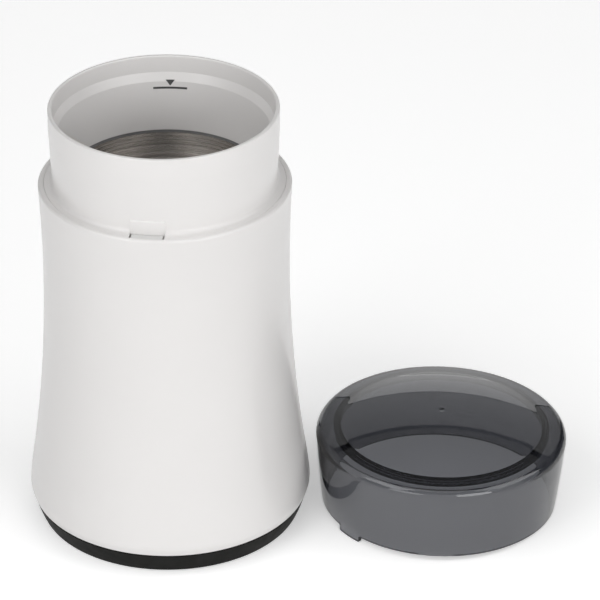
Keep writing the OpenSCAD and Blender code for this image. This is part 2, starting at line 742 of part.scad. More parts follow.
module motor_shaft() {
    color(steel) {
        translate([0, 0, shaft_low_z]) cylinder(r1 = shaft_r - 0.4, r2 = shaft_r, h = 0.4 + eps);
        rod(shaft_r, shaft_low_z + 0.4, blade_z);
        rod(shaft_r - 0.6, blade_z - eps, shaft_top_z);
        rod(shaft_r + 1, bowl_floor_z + 2.7, blade_z - 0.01);
    }
}
module armature_core() {
    color(dark_steel) translate([0, 0, stack_low_z + 1]) linear_extrude(stack_h - 2) difference() {
        circle(r = armature_r);
        circle(r = shaft_r + 0.01);
        for (i = [0 : slot_count - 1]) rotate(360 * i / slot_count) {
            translate([slot_at_r, 0]) circle(r = slot_r, $fn = 32);
            block2([slot_at_r, -0.5], [armature_r + 1, 0.5]);
        }
    }
}
module armature_windings() {
    low = stack_low_z + 1;
    high = stack_top_z - 1;
    out_r = armature_r - 1;
    in_r = shaft_r + 1.8;
    turn_h = 4.6;
    module end_turns(z, s) {
        mid = (out_r + in_r) / 2;
        dome = concat([[in_r, 0.15]], oval(mid, 0.15, mid - in_r, turn_h, 180, 0, 14), [[out_r, 0.15]]);
        translate([0, 0, z]) rotate_extrude() polygon([for (p = dome) [p[0], s * p[1]]]);
    }
    color(copper) union() {
        end_turns(high, 1);
        end_turns(low, -1);
        for (i = [0 : slot_count - 1]) rotate(360 * i / slot_count)
            translate([slot_at_r, 0, 0]) rod(slot_r - 0.12, low - 1, high + 1);
    }
}
module commutator() {
    color(copper) difference() {
        union() {
            rod(commutator_r, commutator_z, commutator_z + commutator_h);
            rod(commutator_r + 1.2, commutator_z + commutator_h - 1.4, commutator_z + commutator_h);
        }
        rod(shaft_r + 0.01, commutator_z - 1, commutator_z + commutator_h + 1);
        for (i = [0 : slot_count - 1]) rotate(360 * (i + 0.5) / slot_count)
            block([commutator_r - 1.1, -0.25, commutator_z - 1],
                [commutator_r + 3, 0.25, commutator_z + commutator_h + 1]);
    }
}
module cooling_fan() {
    hub_r = shaft_r + 3.5;
    disc_t = 1.2;
    blade_in = hub_r + 2.5;
    color(black) difference() {
        union() {
            rod(fan_r - 1, fan_z + fan_h - disc_t, fan_z + fan_h);
            rod(hub_r, fan_z, fan_z + fan_h);
            // backward-swept blades hang below the disc
            for (i = [0 : fan_blades - 1]) rotate(360 * i / fan_blades)
                translate([blade_in, 0, fan_z]) rotate(-32)
                    block([0, -0.6, 0], [fan_r - blade_in, 0.6, fan_h - disc_t + eps]);
        }
        rod(shaft_r + 0.01, fan_z - 1, fan_z + fan_h + 1);
    }
}
// One scimitar wing, flat, pointing along +X
module wing_outline() {
    root = nut_washer_r;
    tip = 5;
    polygon(concat([[0, -root], [blade_r * 0.55, -root * 0.92]],
        arc(blade_r - tip, -1, tip, -52, 62, 8), [[blade_r * 0.5, root * 0.62], [0, root * 0.8]]));
}
module blade() {
    wing_x = nut_washer_r + 0.4;
    hub = wing_x + 1.2;
    color(steel) difference() {
        union() {
            rod(hub, blade_z, blade_z + blade_t);
            for (s = [0, 1]) rotate(180 * s) translate([0, 0, blade_z])
                intersection() {
                    // each wing twists about its own length, one lifts and one dips
                    translate([4, 0, blade_t / 2]) rotate([blade_twist, s == 0 ? -9 : 5, 0])
                        translate([-4, 0, -blade_t / 2]) linear_extrude(blade_t) wing_outline();
                    block([wing_x, -blade_r, -blade_r], [blade_r + 1, blade_r, blade_r]);
                }
        }
        rod(shaft_r - 0.58, blade_z - 2, blade_z + blade_t + 2);
    }
}
module blade_nut() {
    top = blade_z + blade_t;
    nut_r = nut_washer_r - 0.9;
    dome_r = nut_washer_r + 1;
    color(dark_steel) difference() {
        union() {
            rod(nut_washer_r, top, top + 1.3);
            translate([0, 0, top]) cylinder(r = nut_r, h = nut_h - 1.5, $fn = 6);
            translate([0, 0, top]) intersection() {
                cylinder(r = nut_r * 0.84, h = nut_h);
                translate([0, 0, nut_h - dome_r]) sphere(r = dome_r);
            }
        }
        rod(shaft_r - 0.59, top - 1, shaft_top_z + 0.05);
    }
}

// =========================== Interlock ===========================

module interlock_plunger() {
    half = slot_w / 2 - 0.65;
    color(white) union() {
        // paddle in the slot
        front_arc(head_out_r, head_in_r, half, head_low_z, plunger_top_z);
        // step inward to the stem
        block([-half + 1, 1.7 - head_out_r, step_low_z], [half - 1, -chassis_r - free, head_low_z + eps]);
        translate([0, stem_y, 0]) rod(stem_r, foot_z, step_low_z + eps);
        // foot that reaches in under the cup and over the switch lever
        block([-stem_r, stem_y - eps, foot_z], [stem_r, switch_y + 1.6, foot_z + foot_t]);
        block([-stem_r, switch_y - 1.6, foot_z], [tip_x + 1.8, switch_y + 1.6, foot_z + foot_t]);
        translate([tip_x, switch_y, 0]) rod(tip_r, tip_z + tip_r, foot_z + eps);
        translate([tip_x, switch_y, tip_z + tip_r]) sphere(r = tip_r, $fn = 32);
    }
}
module plunger_spring() {
    color(steel) translate([0, stem_y, guide_z + 0.05])
        coil_spring(stem_r + 0.4, 0.2, step_low_z - guide_z - 0.1, 8);
}
module micro_switch() {
    low_z = switch_top_z - switch_h;
    color(black) difference() {
        union() {
            block([-switch_w / 2, switch_y - switch_d / 2, low_z],
                [switch_w / 2, switch_y + switch_d / 2, switch_top_z]);
            // lugs that carry the lever's pin
            for (y = [-lug_y, lug_y]) translate([lever_pivot_x, switch_y + y, 0]) {
                translate([0, lug_t / 2, lever_pin_z]) rotate([90, 0, 0]) cylinder(r = lug_r, h = lug_t);
                block([-lug_r, -lug_t / 2, switch_top_z - 1], [lug_r, lug_t / 2, lever_z]);
            }
        }
        translate([lever_pivot_x, switch_y + switch_d, lever_pin_z]) rotate([90, 0, 0])
            cylinder(r = lever_pin_r + 0.05, h = 2 * switch_d, $fn = 32);
        translate([button_x, switch_y, 0]) rod(1.15, switch_top_z - 4.5, switch_top_z + 1);
        switch_holes(switch_screw_r + 0.27);
    }
    // terminals
    color(bronze) for (x = [-7, 0, 7])
        block([x - 1.6, switch_y - 0.4, low_z - 5], [x + 1.6, switch_y + 0.4, low_z + 0.5]);
}
module switch_lever() {
    half_y = switch_d / 2 - 1.6;
    pin_l = switch_d - 0.4;
    color(steel) {
        block([lever_pivot_x, switch_y - half_y, lever_z],
            [tip_x + 2.4, switch_y + half_y, lever_z + lever_t]);
        translate([lever_pivot_x, switch_y, lever_pin_z]) rotate([90, 0, 0])
            translate([0, 0, -pin_l / 2]) cylinder(r = lever_pin_r, h = pin_l, $fn = 32);
    }
}
module switch_button() {
    color([0.75, 0.12, 0.1]) translate([button_x, switch_y, 0]) {
        rod(1.05, switch_top_z - 2.8, lever_z - 0.1 - 0.7);
        translate([0, 0, lever_z - 0.1 - 1.05]) sphere(r = 1.05, $fn = 32);
    }
}
module switch_screws() {
    low_z = switch_top_z - switch_h;
    front_y = switch_y - switch_d / 2;
    color(steel) for (s = [-1, 1]) translate([s * switch_hole_x, front_y, low_z + switch_hole_z])
        rotate([-90, 0, 0]) {
            rod(switch_screw_r, 0, switch_back_y + switch_wall_t - front_y - 0.2);
            rod(2 * switch_screw_r, -1.2, 0);
        }
}

// =========================== Base ===========================

module base_cover() {
    floor_top = cover_low_z + cover_t;
    color(black) difference() {
        union() {
            spin([[0, cover_low_z], [cover_r - 0.6, cover_low_z], [cover_r, cover_low_z + 0.6],
                [cover_r, base_h - cover_lip_t], [cover_lip_r, base_h - cover_lip_t], [cover_lip_r, base_h],
                [cover_r, base_h], [cover_r, cover_rim_z - 0.6], [cover_r - 0.6, cover_rim_z],
                [cover_r - cover_wall, cover_rim_z], [cover_r - cover_wall, floor_top], [0, floor_top]]);
            for (a = leg_angles) rotate(a) {
                translate([leg_at_r, 0, 0]) rod(well_r, floor_top - eps, well_top_z);
                block([leg_at_r, -1, floor_top - eps], [cover_r - 1, 1, well_top_z - 2]);
            }
            // stiffening rings round the grille
            for (r = [hub_rib_r, ring_rib_r])
                tube(r, r - ring_rib_t, floor_top - eps, floor_top + ring_rib_h);
            capacitor_place() for (s = [-1, 1])
                block([-cap_w / 2 - 1.4, s * (cap_d / 2 + 0.75) - 0.6, 0],
                    [cap_w / 2 + 1.4, s * (cap_d / 2 + 0.75) + 0.6, cap_rib_h]);
        }
        for (a = leg_angles) rotate(a) translate([leg_at_r, 0, 0]) {
            rod(well_in_r, cover_low_z - 1, well_top_z - well_roof);
            rod(screw_r + 0.2, cover_low_z, well_top_z + 1);
        }
        for (i = [0 : vent_count - 1]) rotate(360 * (i + 0.5) / vent_count) vent_slot(floor_top);
    }
}
module vent_slot(floor_top) {
    in_r = hub_rib_r + 3;
    out_r = ring_rib_r - ring_rib_t - 2.4;
    half_w = 1.1;
    block([in_r, -half_w, cover_low_z - 1], [out_r, half_w, floor_top + 1]);
    for (x = [in_r, out_r]) translate([x, 0, 0]) rod(half_w, cover_low_z - 1, floor_top + 1);
}

module foot_ring() {
    foot_round = 0.8;
    wall_r = max(base_top_r, cover_lip_r + fit + 0.8);
    lip_low_z = base_h - cover_lip_t;
    color(black) rotate_extrude($fn = 180) polygon(concat(
        [[ring_foot_in_r, 0]],
        arc(base_low_r - foot_round, foot_round, foot_round, -90, -12, 5),
        [[wall_r, base_h - 0.3], [wall_r - 0.3, base_h], [cover_lip_r + fit, base_h],
         [cover_lip_r + fit, lip_low_z - eps], [cover_r + fit, lip_low_z - eps],
         [cover_r + fit, cover_low_z - eps], [ring_foot_in_r, cover_low_z - eps]]));
}
module base_screws() {
    color(steel) for (a = leg_angles) rotate(a) translate([leg_at_r, 0, 0])
        screw(leg_pilot_r - 0.05, well_top_z - well_roof, well_top_z + base_grip, base_head_r, base_head_h);
}
module cord_gland() {
    out_y = bow_at(gland_z) + gland_out;
    in_y = gland_seat_y - gland_flange_t;
    room_r = cord_r + gland_room;
    color(black) translate([0, 0, gland_z]) rotate([-90, 0, 0]) spin([
        [room_r, in_y], [gland_flange_r, in_y], [gland_flange_r, gland_seat_y],
        [gland_r, gland_seat_y], [gland_r, out_y - 1.6], [gland_r - 0.9, out_y], [cord_r, out_y],
        [cord_r, out_y - gland_grip], [room_r, out_y - gland_grip - gland_room]]);
}

module capacitor_place() {
    rotate(20) translate([ring_rib_r + cap_gap + cap_d / 2, 0, cover_low_z + cover_t - eps])
        rotate(90) children();
}
module capacitor() {
    color([0.85, 0.7, 0.2]) capacitor_place() {
        block([-cap_w / 2, -cap_d / 2, eps], [cap_w / 2, cap_d / 2, cap_h]);
        for (x = [-5, 5]) translate([x, 0, 0]) rod(0.5, cap_h - eps, cap_h + 3);
    }
}

// =========================== Lid ===========================

// Radius of the lid's side at height z; it flares with a slight belly
function lid_side(z, inset) = let (t = z / lid_side_h)
    lid_rim_r - inset + (lid_max_r - lid_rim_r) * t + 4 * lid_bow * t * (1 - t);

module lid_outline() {
    side_n = 6;
    in_side_h = lid_side_h - 0.3;
    dome_z = lid_ring_z + dome_rise - dome_ball;
    dome_a = asin(dome_r / dome_ball);
    in_ball = dome_ball - lid_roof;
    in_a = asin(dome_r / in_ball);
    groove = 0.6;
    mark_r = 1.2;
    polygon(concat(
        // underside of the dome, from the middle out
        [for (i = [0 : 8]) let (a = in_a * i / 8) [in_ball * sin(a), dome_z + in_ball * cos(a)]],
        // locating rib inside the neck
        [[dome_r, lid_in_h - rib_h + 0.3], [dome_r + 0.3, lid_in_h - rib_h],
         [rib_r - 0.3, lid_in_h - rib_h], [rib_r, lid_in_h - rib_h + 0.3], [rib_r, lid_in_h]],
        oval(lid_ring_r, in_side_h, lid_max_r - lid_wall - lid_ring_r, lid_in_h - in_side_h, 90, 0, 10),
        [for (i = [side_n - 1 : -1 : 1])
            [lid_side(lid_side_h * i / side_n, lid_wall), in_side_h * i / side_n]],
        [[lid_rim_r - lid_wall, lid_edge], [lid_rim_r - lid_wall + lid_edge, 0],
         [lid_rim_r - lid_edge, 0], [lid_rim_r, lid_edge]],
        [for (i = [1 : side_n - 1]) [lid_side(lid_side_h * i / side_n, 0), lid_side_h * i / side_n]],
        oval(lid_ring_r, lid_side_h, lid_max_r - lid_ring_r, lid_ring_z - lid_side_h, 0, 90, 12),
        // shallow groove over the rib, then the dome
        [[rib_r, lid_ring_z], [rib_r - 0.5, lid_ring_z - groove], [dome_r + 0.5, lid_ring_z - groove]],
        [for (i = [12 : -1 : 1]) let (a = dome_a * i / 12)
            [dome_ball * sin(a), dome_z + dome_ball * cos(a)]],
        [[mark_r, dome_z + dome_ball - 0.05], [0, dome_z + dome_ball - 0.4]]));
}

module lid_place() {
    lift = (lid_rim_r - lid_edge) * sin(lid_lean);
    translate([lid_x, lid_y, lift]) rotate(tab_angle) rotate([0, -lid_lean, 0]) children();
}

module lid() {
    color(smoke) lid_place() union() {
        rotate_extrude($fn = 180) lid_outline();
        // tab that goes down into the slot
        intersection() {
            tube(tab_r, tab_r - tab_t, -tab_drop, 1);
            block([tab_r / 2, -tab_w / 2, -tab_drop], [tab_r + 1, tab_w / 2, 1]);
        }
    }
}

outer_shell();
neck_collar();
grinding_bowl();
bowl_gasket();
chassis();
shaft_seal();
upper_bearing();
lower_bearing();
upper_bracket();
lower_bracket();
stator_core();
field_coils();
brush_yoke();
carbon_brushes();
brush_springs();
motor_mounts();
motor_screws();
mount_screws();
motor_shaft();
armature_core();
armature_windings();
commutator();
cooling_fan();
blade();
blade_nut();
interlock_plunger();
plunger_spring();
micro_switch();
switch_lever();
switch_button();
switch_screws();
base_cover();
foot_ring();
base_screws();
cord_gland();
capacitor();
lid();
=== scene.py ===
"""Looks of the electric spice grinder: materials, a finely turned lid, the eased foot of the body,
the spring under the plunger, the fill mark, floor, light and camera. Lengths are in metres unless
a comment says millimetres."""

import math

import bmesh
import bpy
from mathutils import Matrix, Vector

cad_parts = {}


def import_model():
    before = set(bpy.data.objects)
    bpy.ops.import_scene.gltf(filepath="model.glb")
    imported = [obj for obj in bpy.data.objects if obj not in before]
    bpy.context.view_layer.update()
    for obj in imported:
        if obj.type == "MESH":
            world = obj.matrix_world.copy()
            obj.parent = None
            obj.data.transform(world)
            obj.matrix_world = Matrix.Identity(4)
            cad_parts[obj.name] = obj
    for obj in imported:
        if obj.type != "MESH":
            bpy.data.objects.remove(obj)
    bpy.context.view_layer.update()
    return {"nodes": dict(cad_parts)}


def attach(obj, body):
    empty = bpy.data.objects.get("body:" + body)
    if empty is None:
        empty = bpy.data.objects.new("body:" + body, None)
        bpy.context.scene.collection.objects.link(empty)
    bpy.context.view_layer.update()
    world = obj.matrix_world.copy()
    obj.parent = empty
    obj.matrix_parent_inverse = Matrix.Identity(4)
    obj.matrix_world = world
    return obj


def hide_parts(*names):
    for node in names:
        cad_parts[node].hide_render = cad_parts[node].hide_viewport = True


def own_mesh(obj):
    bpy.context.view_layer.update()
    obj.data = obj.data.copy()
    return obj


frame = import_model()
NODES = frame["nodes"]
CREASE = math.radians(32)     # edges that turn more than this stay sharp


def stand(name, mesh):
    """An object with the mesh, in the scene."""
    piece = bpy.data.objects.new(name, mesh)
    bpy.context.scene.collection.objects.link(piece)
    return piece


def smooth(mesh):
    mesh.shade_smooth()
    mesh.set_sharp_from_angle(angle=CREASE)


# ------------------------------------------------------------------ materials
class Paint:
    """A node-based material round one Principled shader, in the piece's own coordinates."""

    def __init__(self, name, color, roughness, metallic=0.0):
        self.mat = bpy.data.materials.new(name)
        self.mat.use_nodes = True
        self.tree = self.mat.node_tree
        self.bsdf = self.tree.nodes["Principled BSDF"]
        self.color = color
        self.set("Base Color", (*color, 1))
        self.set("Roughness", roughness)
        self.set("Metallic", metallic)
        self.coords = self.add("ShaderNodeTexCoord").outputs["Object"]
        self.bump_from = None

    def add(self, kind, **values):
        """A new node; each value goes to its setting, or else to its input of that name."""
        node = self.tree.nodes.new(kind)
        for key, value in values.items():
            if hasattr(node, key):
                setattr(node, key, value)
            else:
                node.inputs[key.replace("_", " ").title()].default_value = value
        return node

    def link(self, a, b):
        self.tree.links.new(a, b)
        return self

    def set(self, socket, value):
        self.bsdf.inputs[socket].default_value = value
        return self

    def math(self, operation, a, b=None):
        node = self.add("ShaderNodeMath", operation=operation)
        for socket, value in zip(node.inputs, (a, b)):
            if value is None:
                continue
            if isinstance(value, (int, float)):
                socket.default_value = value
            else:
                self.link(value, socket)
        return node.outputs[0]

    def noise(self, scale, detail=3.0, rough=0.5, stretch=(1, 1, 1)):
        place = self.add("ShaderNodeMapping")
        place.inputs["Scale"].default_value = stretch
        self.link(self.coords, place.inputs["Vector"])
        node = self.add("ShaderNodeTexNoise", scale=scale, detail=detail, roughness=rough)
        self.link(place.outputs[0], node.inputs["Vector"])
        return node.outputs["Fac"]

    def rings(self, scale, detail=2.0):
        """Noise that runs only along height and radius, so it turns into rings round the axis."""
        split = self.add("ShaderNodeSeparateXYZ")
        self.link(self.coords, split.inputs[0])
        x, y, z = split.outputs
        squares = self.math("ADD", self.math("MULTIPLY", x, x), self.math("MULTIPLY", y, y))
        along = self.math("SUBTRACT", z, self.math("SQRT", squares))
        node = self.add("ShaderNodeTexNoise", noise_dimensions="1D", scale=scale, detail=detail)
        self.link(along, node.inputs["W"])
        return node.outputs["Fac"]

    def bands(self, scale, axis="Z", distortion=0.0):
        node = self.add("ShaderNodeTexWave", wave_type="BANDS", bands_direction=axis, scale=scale,
                        distortion=distortion)
        self.link(self.coords, node.inputs["Vector"])
        return node.outputs["Fac"]

    def spread(self, source, low, high):
        """Maps a factor around one half onto a range, held inside it."""
        node = self.add("ShaderNodeMapRange")
        for key, value in (("From Min", 0.3), ("From Max", 0.7), ("To Min", low), ("To Max", high)):
            node.inputs[key].default_value = value
        self.link(source, node.inputs["Value"])
        return node.outputs["Result"]

    def tint(self, source, other):
        """Colour that wanders from the base colour to another."""
        mix = self.add("ShaderNodeMix", data_type="RGBA")
        for socket, color in ((mix.inputs[6], self.color), (mix.inputs[7], other)):
            socket.default_value = (*color, 1)
        self.link(self.spread(source, 0.0, 1.0), mix.inputs[0])
        self.link(mix.outputs[2], self.bsdf.inputs["Base Color"])
        return self

    def rough(self, source, low, high):
        self.link(self.spread(source, low, high), self.bsdf.inputs["Roughness"])
        return self

    def bump(self, source, depth):
        """Relief of a given depth; a second call adds a finer layer."""
        node = self.add("ShaderNodeBump")
        node.inputs["Strength"].default_value = 1.0
        node.inputs["Distance"].default_value = depth
        self.link(source, node.inputs["Height"])
        if self.bump_from is not None:
            self.link(self.bump_from, node.inputs["Normal"])
        self.bump_from = node.outputs["Normal"]
        self.link(self.bump_from, self.bsdf.inputs["Normal"])
        return self

    def brushed(self, amount, rotation=0.0):
        """Highlights drawn out across rings that run round the axis."""
        tangent = self.add("ShaderNodeTangent", direction_type="RADIAL", axis="Z")
        self.set("Anisotropic", amount)
        self.set("Anisotropic Rotation", rotation)
        self.link(tangent.outputs[0], self.bsdf.inputs["Tangent"])
        return self


def moulded(name, color, other, roughness, grain=2600, depth=0.000012):
    """Injection-moulded plastic: faint mottling, uneven gloss and a very fine grain."""
    p = Paint(name, color, roughness)
    p.tint(p.noise(26, 4), other)
    p.rough(p.noise(90, 3), roughness * 0.86, roughness * 1.14)
    return p.bump(p.noise(grain, 2), depth)


def metal(name, color, other, roughness, scale=900, stretch=(1, 1, 1)):
    """Bare metal with streaks that change its colour, gloss and relief together."""
    p = Paint(name, color, roughness, 1.0)
    streak = p.noise(scale, 3, 0.6, stretch)
    p.tint(streak, other)
    p.rough(streak, roughness * 0.75, roughness * 1.3)
    return p.bump(streak, 0.00002)


def rubber(name, color, other, roughness, gloss=0.5):
    p = Paint(name, color, roughness)
    p.set("Specular IOR Level", gloss)
    p.tint(p.noise(140, 4), other)
    p.rough(p.noise(300, 2), roughness * 0.9, roughness * 1.1)
    return p.bump(p.noise(3600, 3), 0.00003)


def white_body():
    p = moulded("white_body", (0.80, 0.785, 0.775), (0.79, 0.775, 0.765), 0.34, 1400, 0.000004)
    p.set("Coat Weight", 0.3)
    return p.set("Coat Roughness", 0.14)


def bowl_steel():
    """Spun steel: turning marks in rings, coarse ones in the colour and fine ones in the gloss."""
    p = Paint("bowl_steel", (0.93, 0.90, 0.87), 0.3, 1.0)
    coarse, fine = p.rings(900, 3), p.rings(4200, 2)
    p.tint(coarse, (0.5, 0.48, 0.46))
    p.rough(fine, 0.16, 0.3)
    p.bump(coarse, 0.00005)
    p.bump(fine, 0.00001)
    return p.brushed(0.8, 0.25)


def smoky_clear():
    """Tinted clear plastic: part of the tint is in the depth, so thick places turn nearly black."""
    p = Paint("smoky_clear", (0.80, 0.81, 0.83), 0.02)
    p.tint(p.noise(14, 2), (0.78, 0.79, 0.81))
    p.set("Transmission Weight", 1.0)
    p.set("IOR", 1.52)
    p.rough(p.noise(60, 3), 0.012, 0.03)
    depth = p.add("ShaderNodeVolumeAbsorption")
    depth.inputs["Color"].default_value = (0.0, 0.008, 0.055, 1)
    depth.inputs["Density"].default_value = 640
    p.link(depth.outputs[0], p.tree.nodes["Material Output"].inputs["Volume"])
    return p


def laminated():
    p = metal("lamination", (0.16, 0.16, 0.17), (0.10, 0.10, 0.105), 0.42)
    return p.bump(p.bands(320), 0.00008)


def winding(name, axis):
    p = metal(name, (0.62, 0.24, 0.09), (0.42, 0.14, 0.05), 0.3)
    p.set("Coat Weight", 0.5)
    return p.bump(p.bands(420, axis, 1.5), 0.0002)


def commutator_bars():
    p = metal("commutator_bars", (0.70, 0.34, 0.18), (0.36, 0.20, 0.13), 0.32, 500, (1, 1, 6))
    return p.brushed(0.5)


def sintered(name, color, other):
    p = metal(name, color, other, 0.5, 3000)
    return p.bump(p.noise(5200, 2), 0.00003)


def dress():
    """One material for each group of nodes."""
    groups = {
        white_body(): ("outer_shell", "neck_collar"),
        moulded("plunger_white", (0.74, 0.74, 0.73), (0.70, 0.70, 0.69), 0.4):
            ("interlock_plunger",),
        bowl_steel(): ("grinding_bowl",),
        rubber("foot_rubber", (0.008, 0.008, 0.0075), (0.012, 0.012, 0.011), 0.6, 0.1):
            ("foot_ring",),
        moulded("cover_black", (0.02, 0.02, 0.021), (0.028, 0.028, 0.029), 0.5, 2200, 0.00004):
            ("base_cover", "cooling_fan", "brush_yoke"),
        moulded("switch_black", (0.025, 0.025, 0.026), (0.035, 0.035, 0.036), 0.38):
            ("micro_switch",),
        moulded("chassis_grey", (0.66, 0.67, 0.66), (0.58, 0.59, 0.58), 0.45, 1800, 0.00003):
            ("chassis",),
        moulded("button_red", (0.5, 0.02, 0.015), (0.4, 0.015, 0.012), 0.35): ("switch_button",),
        moulded("capacitor_yellow", (0.72, 0.42, 0.04), (0.62, 0.34, 0.03), 0.32): ("capacitor",),
        rubber("seal_rubber", (0.02, 0.02, 0.021), (0.03, 0.03, 0.031), 0.5):
            ("shaft_seal", "motor_mounts", "cord_gland"),
        rubber("gasket_grey", (0.16, 0.16, 0.165), (0.2, 0.2, 0.205), 0.55): ("bowl_gasket",),
        metal("blade_steel", (0.62, 0.61, 0.60), (0.48, 0.47, 0.46), 0.26, 420, (1, 12, 1)):
            ("blade",),
        metal("turned_steel", (0.56, 0.56, 0.56), (0.44, 0.44, 0.45), 0.24, 700, (1, 1, 14)):
            ("motor_shaft", "blade_nut", "motor_screws", "mount_screws", "base_screws",
             "switch_screws"),
        metal("spring_steel", (0.5, 0.5, 0.51), (0.38, 0.38, 0.39), 0.28, 1500):
            ("plunger_spring", "brush_springs", "switch_lever"),
        metal("zinc_plate", (0.46, 0.47, 0.48), (0.34, 0.35, 0.36), 0.4, 240):
            ("upper_bracket", "lower_bracket"),
        laminated(): ("stator_core", "armature_core"),
        winding("field_wire", "Z"): ("field_coils",),
        winding("armature_wire", "X"): ("armature_windings",),
        commutator_bars(): ("commutator",),
        sintered("bearing_bronze", (0.48, 0.32, 0.13), (0.36, 0.23, 0.09)):
            ("upper_bearing", "lower_bearing"),
        sintered("brush_carbon", (0.06, 0.06, 0.062), (0.035, 0.035, 0.037)): ("carbon_brushes",),
    }
    for paint, names in groups.items():
        for name in names:
            data = NODES[name].data
            data.materials.clear()
            data.materials.append(paint.mat)


dress()

# ------------------------------------------------------------------ lid
LID_REACH, LID_DIRECTION = 0.097245, math.radians(8.28)   # from the body's axis to the lid's
LID_AT = Vector((LID_REACH * math.cos(LID_DIRECTION), LID_REACH * math.sin(LID_DIRECTION), 0))
RIM_R, MAX_R, BELLY = 0.0427, 0.04515, 0.00016      # outer side at the rim, its widest, its bulge
SIDE_H, RING_Z, INSIDE_H = 0.0253, 0.0300, 0.0284   # heights of the side, the ring, the roof inside
WALL, ROOF, EDGE = 0.0019, 0.0016, 0.0003           # thicknesses, and the small edge breaks
ROUND_R, RING_FALL = 0.0034, 12.2      # rounding of the outer edge; fall of the ring, degrees
DOME_R, DOME_RISE = 0.0361, 0.0053
RING_EASE = ((0.0012, 0.00028), (0.0002, 0.00005))  # out and down from the dome's edge
RIB_R, RIB_H, RING_UNDER = 0.0387, 0.0028, 0.0004   # rib under the dome's edge, ring's drop at it
MARK_R, MARK_EDGE, MARK_DEPTH = 0.0012, 0.00005, 0.0004   # gate mark in the middle of the dome
TAB_R, TAB_T, TAB_W, TAB_DROP = 0.0426, 0.0016, 0.0104, 0.002
TAB_TURN, TAB_GAP, TAB_COLUMNS = math.radians(226), math.radians(0.08), 12
LID_LEAN = math.atan(TAB_DROP / (TAB_R - TAB_T + RIM_R - EDGE))   # the lid stands on its tab
LID_TURNS, SIDE_STEPS = 300, 24                           # points round the lid and up its side
ROOF_STEPS, UNDER_STEPS, ROUND_STEPS, DOME_STEPS = 36, 20, 28, 48   # inside, inside, out, out


def arc(cx, cz, radius, start, end, n):
    turns = (math.radians(start + (end - start) * i / n) for i in range(n + 1))
    return [(cx + radius * math.cos(a), cz + radius * math.sin(a)) for a in turns]


def lid_side(t, inset):
    return RIM_R - inset + (MAX_R - RIM_R) * t + 4 * BELLY * t * (1 - t)


def ball_cap(ball, centre_z, reach, n, mark=0.0):
    """Points of a shallow ball cap from its middle out to a radius."""
    first, last = math.asin(mark / ball), math.asin(reach / ball)
    turns = (first + (last - first) * i / n for i in range(n + 1))
    return [(ball * math.sin(a), centre_z + ball * math.cos(a)) for a in turns]


def lid_profile():
    """Half section of the lid: underside from the middle out, rim, and outside back to the top."""
    ball = (DOME_R ** 2 + DOME_RISE ** 2) / (2 * DOME_RISE)
    dome_z = RING_Z + DOME_RISE - ball
    low = INSIDE_H - RIB_H
    round_at = MAX_R - ROUND_R
    steps = SIDE_STEPS
    rim = [(RIM_R - WALL, EDGE), (RIM_R - WALL + EDGE, 0), (RIM_R - EDGE, 0), (RIM_R, EDGE)]
    inside = (ball_cap(ball - ROOF, dome_z, DOME_R, ROOF_STEPS)
              + [(DOME_R, low + EDGE), (DOME_R + EDGE, low)]
              + [(RIB_R - EDGE, low), (RIB_R, low + EDGE), (RIB_R, RING_Z - WALL - RING_UNDER)]
              + arc(round_at, SIDE_H, ROUND_R - WALL, 90 - RING_FALL, 0, UNDER_STEPS)
              + [(lid_side(i / steps, WALL), SIDE_H * i / steps) for i in range(steps - 1, 1, -1)])
    outside = ([(lid_side(i / steps, 0), SIDE_H * i / steps) for i in range(2, steps)]
               + arc(round_at, SIDE_H, ROUND_R, 0, 90 - RING_FALL, ROUND_STEPS)
               + [(DOME_R + out, RING_Z - down) for out, down in RING_EASE]
               + ball_cap(ball, dome_z, DOME_R, DOME_STEPS, MARK_R)[::-1]
               + [(MARK_R, dome_z + ball - MARK_EDGE), (0, dome_z + ball - MARK_DEPTH)])
    return inside, rim, outside


def clear_lid():
    """The lid turned from its section; the tab is a stretch of the rim that reaches lower."""
    inside, rim, outside = lid_profile()
    tab_rim = [(TAB_R - TAB_T, EDGE), (TAB_R - TAB_T, -TAB_DROP), (TAB_R, -TAB_DROP), (TAB_R, EDGE)]
    half = math.asin(TAB_W / 2 / TAB_R)
    bare = half + TAB_GAP
    angles = [bare + (2 * math.pi - 2 * bare) * i / LID_TURNS for i in range(LID_TURNS + 1)]
    angles += [-half + 2 * half * i / TAB_COLUMNS for i in range(TAB_COLUMNS + 1)]
    place = (Matrix.Translation(LID_AT + Vector((0, 0, (RIM_R - EDGE) * math.sin(LID_LEAN))))
             @ Matrix.Rotation(TAB_TURN, 4, "Z") @ Matrix.Rotation(-LID_LEAN, 4, "Y"))
    bm = bmesh.new()

    def point(r, z, a):
        return bm.verts.new(place @ Vector((r * math.cos(a), r * math.sin(a), z)))

    bottom, top = point(*inside[0], 0), point(*outside[-1], 0)
    rows = []
    for i, a in enumerate(angles):
        section = inside[1:] + (rim if i <= LID_TURNS else tab_rim) + outside[:-1]
        rows.append([point(r, z, a) for r, z in section])
    for here, beyond in zip(rows, rows[1:] + rows[:1]):
        bm.faces.new((bottom, beyond[0], here[0]))
        for k in range(len(here) - 1):
            bm.faces.new((here[k], beyond[k], beyond[k + 1], here[k + 1]))
        bm.faces.new((here[-1], beyond[-1], top))
    bmesh.ops.recalc_face_normals(bm, faces=bm.faces)
    mesh = bpy.data.meshes.new("clear_lid")
    bm.to_mesh(mesh)
    bm.free()
    smooth(mesh)
    mesh.materials.append(smoky_clear().mat)
    piece = stand("clear_lid", mesh)
    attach(piece, "lid")
    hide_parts("lid")


clear_lid()

